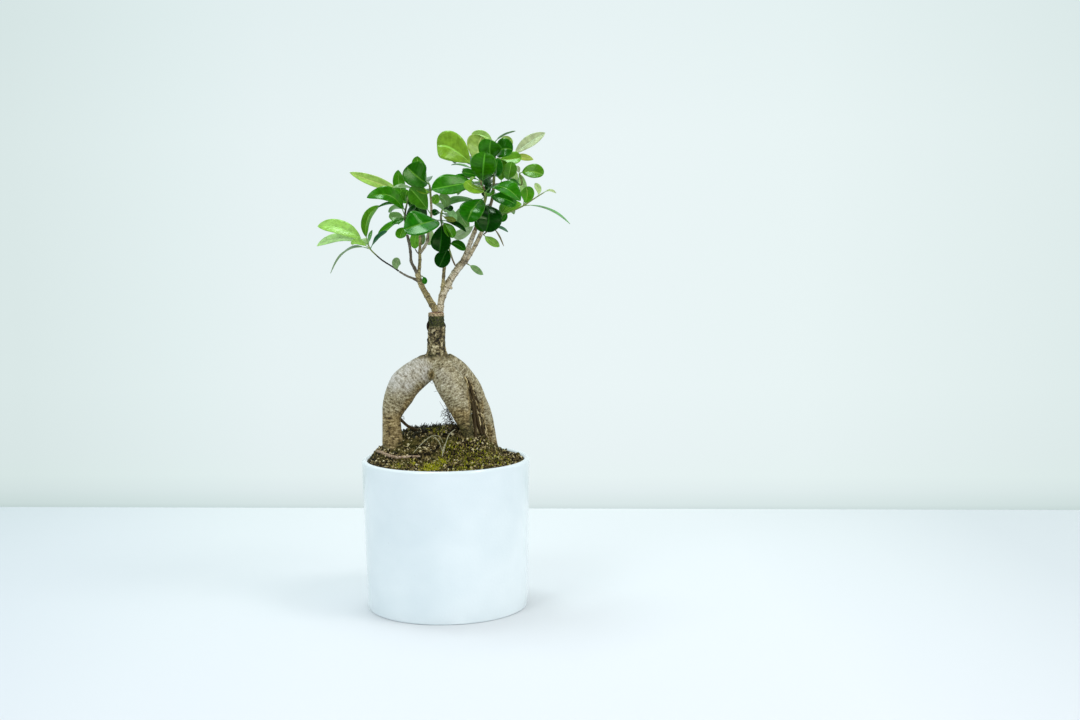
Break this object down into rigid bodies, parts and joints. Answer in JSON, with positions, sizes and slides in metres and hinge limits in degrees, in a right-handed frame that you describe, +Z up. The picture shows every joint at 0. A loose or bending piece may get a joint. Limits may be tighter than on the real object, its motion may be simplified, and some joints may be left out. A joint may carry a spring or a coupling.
{
  "type": "potted ficus ginseng bonsai",
  "caption": "Small grafted ficus bonsai with swollen root legs, a cut neck and glossy oval leaves, planted in mounded soil in a plain round white pot.",
  "frame": {"origin": "centre of the pot's flat underside, which rests on the table", "axes": "+Z up along the pot's axis, -Y towards the viewer of the picture, +X to the right"},
  "size_m": [0.2111, 0.14, 0.3979],
  "materials": {
    "white_glaze": "smooth white glaze, softly glossy",
    "compost": "dark brown gritty compost with crumbs and moss",
    "root_bark": "smooth grey-tan root skin with fine cross wrinkles, rough dark bark on the neck",
    "dead_root": "pale dry root",
    "twig_bark": "grey-brown bark with nodes and scars",
    "leaf": "glossy leathery leaf",
    "dark_leaf": "glossy dark leathery leaf",
    "young_leaf": "thin light yellow-green leaf that lets light through",
    "pale_leaf": "pale grey-green underside of a leaf"
  },
  "bodies": {
    "root": {"pot": "white_glaze", "soil": "compost", "rootstock": "root_bark", "surface_root": "dead_root", "scions": "twig_bark", "outer_left_shoot": "young_leaf", "upper_left_spray": "leaf", "centre_left_spray": "leaf", "centre_twig_spray": "dark_leaf", "middle_spray": "dark_leaf", "hanging_spray": "dark_leaf", "right_low_spray": "dark_leaf", "right_top_spray": "leaf", "crown_spray": "leaf", "right_spray": "leaf", "light_top_shoot": "young_leaf", "light_right_shoot": "young_leaf", "low_right_shoot": "leaf", "limb_leaf": "pale_leaf", "fork_leaf": "pale_leaf"}
  },
  "joints": []
}
